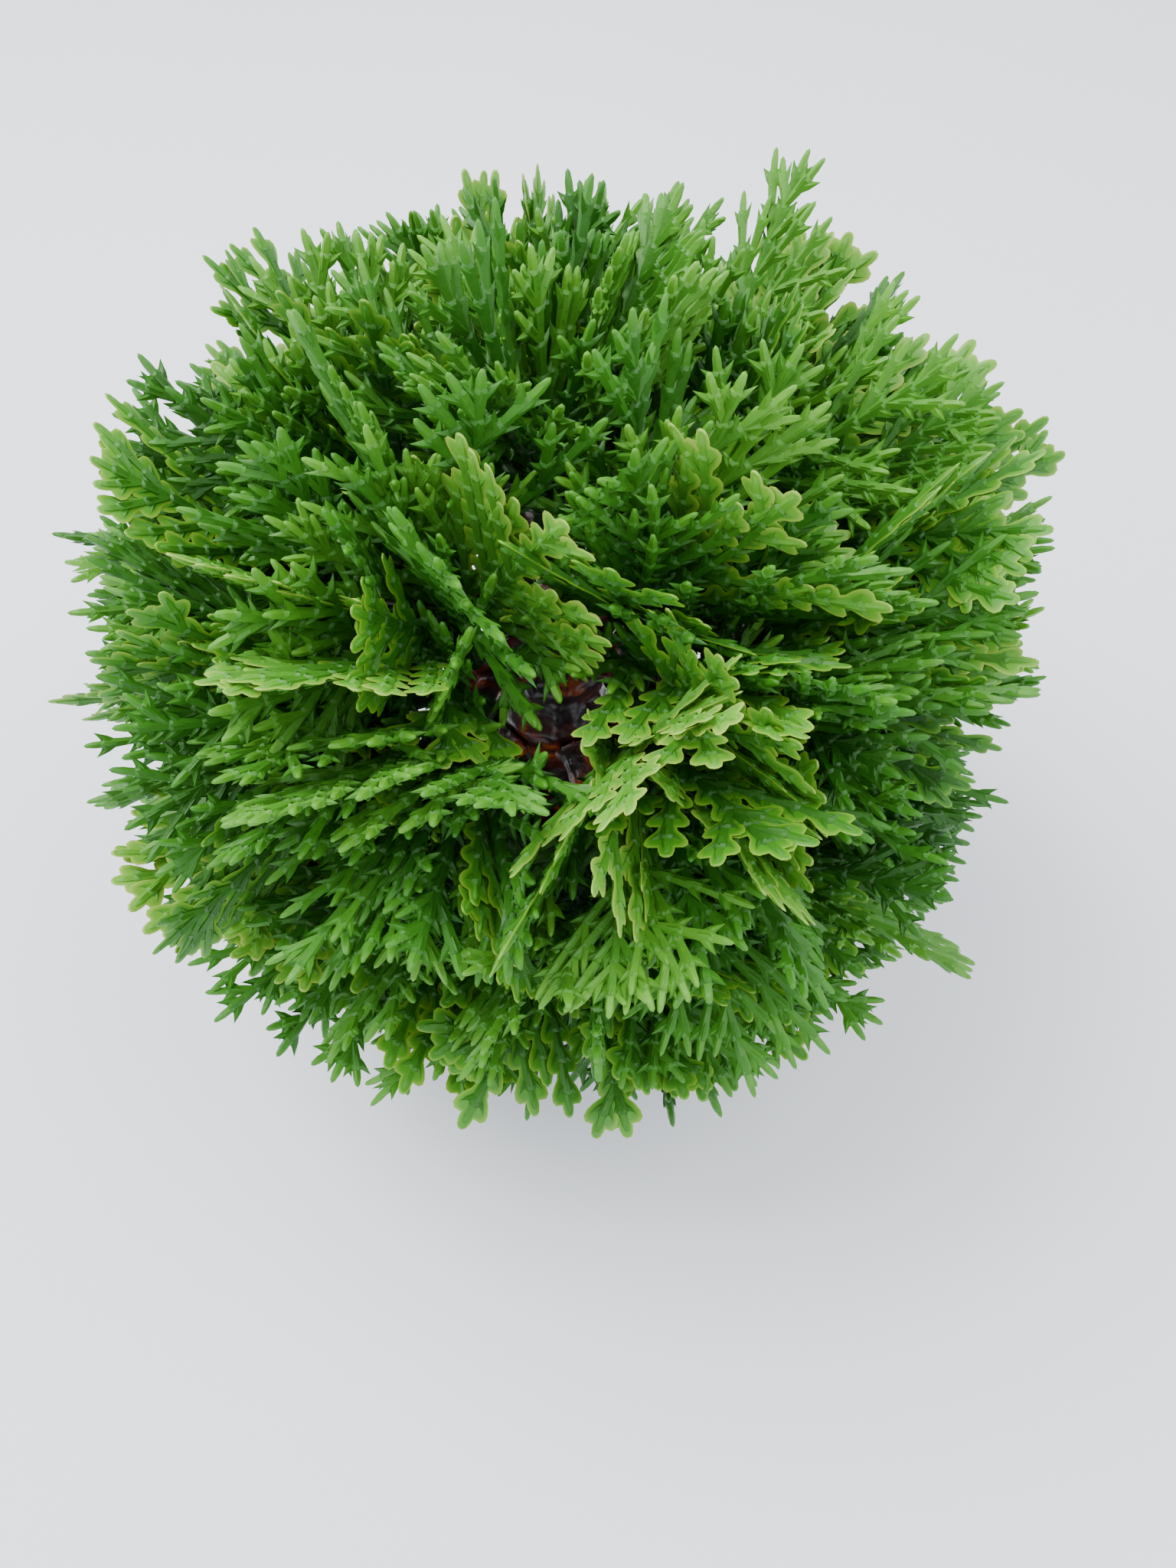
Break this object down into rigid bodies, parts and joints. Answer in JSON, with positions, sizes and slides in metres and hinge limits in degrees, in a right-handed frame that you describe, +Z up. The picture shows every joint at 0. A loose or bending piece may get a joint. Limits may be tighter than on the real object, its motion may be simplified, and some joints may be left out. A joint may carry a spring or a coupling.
{
  "type": "artificial tabletop tree",
  "caption": "Small potted artificial evergreen: a ball-shaped crown of moulded plastic sprays on forked branches that plug into sockets of a knotted trunk.",
  "frame": {"origin": "centre of the base pad's underside, on the surface the tree stands on", "axes": "+Z up along the trunk, -Y towards the front of the tree, +X to its right seen from the front"},
  "size_m": [0.1963, 0.2052, 0.1985],
  "materials": {
    "felt": "pressed felt",
    "pot_plastic": "moulded, fine texture",
    "plaster": "cast",
    "moss": "loose fibre",
    "bark_plastic": "moulded bark, glossy",
    "foliage_plastic": "moulded polyethylene, soft sheen",
    "core_steel": "drawn rod"
  },
  "bodies": {
    "potted_trunk": {"base_pad": "felt", "pot": "pot_plastic", "weighted_filler": "plaster", "moss_layer": "moss", "trunk_core_wire": "core_steel", "trunk": "bark_plastic"},
    "leader_limb": {"leader_branch": "bark_plastic", "leader_foliage_top": "foliage_plastic"},
    "upper_1_limb": {"upper_1_branch": "bark_plastic", "upper_1_foliage_left": "foliage_plastic", "upper_1_foliage_middle": "foliage_plastic", "upper_1_foliage_right": "foliage_plastic"},
    "upper_2_limb": {"upper_2_branch": "bark_plastic", "upper_2_foliage_left": "foliage_plastic", "upper_2_foliage_middle": "foliage_plastic", "upper_2_foliage_right": "foliage_plastic"},
    "upper_3_limb": {"upper_3_branch": "bark_plastic", "upper_3_foliage_left": "foliage_plastic", "upper_3_foliage_middle": "foliage_plastic", "upper_3_foliage_right": "foliage_plastic"},
    "upper_4_limb": {"upper_4_branch": "bark_plastic", "upper_4_foliage_left": "foliage_plastic", "upper_4_foliage_middle": "foliage_plastic", "upper_4_foliage_right": "foliage_plastic"},
    "upper_5_limb": {"upper_5_branch": "bark_plastic", "upper_5_foliage_left": "foliage_plastic", "upper_5_foliage_middle": "foliage_plastic", "upper_5_foliage_right": "foliage_plastic"},
    "lower_1_limb": {"lower_1_branch": "bark_plastic", "lower_1_foliage_left": "foliage_plastic", "lower_1_foliage_middle": "foliage_plastic", "lower_1_foliage_right": "foliage_plastic"},
    "lower_2_limb": {"lower_2_branch": "bark_plastic", "lower_2_foliage_left": "foliage_plastic", "lower_2_foliage_middle": "foliage_plastic", "lower_2_foliage_right": "foliage_plastic"},
    "lower_3_limb": {"lower_3_branch": "bark_plastic", "lower_3_foliage_left": "foliage_plastic", "lower_3_foliage_middle": "foliage_plastic", "lower_3_foliage_right": "foliage_plastic"},
    "lower_4_limb": {"lower_4_branch": "bark_plastic", "lower_4_foliage_left": "foliage_plastic", "lower_4_foliage_middle": "foliage_plastic", "lower_4_foliage_right": "foliage_plastic"},
    "lower_5_limb": {"lower_5_branch": "bark_plastic", "lower_5_foliage_left": "foliage_plastic", "lower_5_foliage_middle": "foliage_plastic", "lower_5_foliage_right": "foliage_plastic"}
  },
  "joints": [
    {"name": "leader_pull", "type": "slide", "parent": "potted_trunk", "child": "leader_limb", "axis": [0, 0, 1], "range_m": [0, 0.00648]},
    {"name": "upper_1_pull", "type": "slide", "parent": "potted_trunk", "child": "upper_1_limb", "axis": [0.4873, -0.6707, 0.5592], "range_m": [0, 0.00648]},
    {"name": "upper_2_pull", "type": "slide", "parent": "potted_trunk", "child": "upper_2_limb", "axis": [0.7885, 0.2562, 0.5592], "range_m": [0, 0.00648]},
    {"name": "upper_3_pull", "type": "slide", "parent": "potted_trunk", "child": "upper_3_limb", "axis": [0, 0.829, 0.5592], "range_m": [0, 0.00648]},
    {"name": "upper_4_pull", "type": "slide", "parent": "potted_trunk", "child": "upper_4_limb", "axis": [-0.7885, 0.2562, 0.5592], "range_m": [0, 0.00648]},
    {"name": "upper_5_pull", "type": "slide", "parent": "potted_trunk", "child": "upper_5_limb", "axis": [-0.4873, -0.6707, 0.5592], "range_m": [0, 0.00648]},
    {"name": "lower_1_pull", "type": "slide", "parent": "potted_trunk", "child": "lower_1_limb", "axis": [0.2885, -0.8879, -0.3584], "range_m": [0, 0.00648]},
    {"name": "lower_2_pull", "type": "slide", "parent": "potted_trunk", "child": "lower_2_limb", "axis": [0.9336, 0, -0.3584], "range_m": [0, 0.00648]},
    {"name": "lower_3_pull", "type": "slide", "parent": "potted_trunk", "child": "lower_3_limb", "axis": [0.2885, 0.8879, -0.3584], "range_m": [0, 0.00648]},
    {"name": "lower_4_pull", "type": "slide", "parent": "potted_trunk", "child": "lower_4_limb", "axis": [-0.7553, 0.5487, -0.3584], "range_m": [0, 0.00648]},
    {"name": "lower_5_pull", "type": "slide", "parent": "potted_trunk", "child": "lower_5_limb", "axis": [-0.7553, -0.5487, -0.3584], "range_m": [0, 0.00648]}
  ]
}
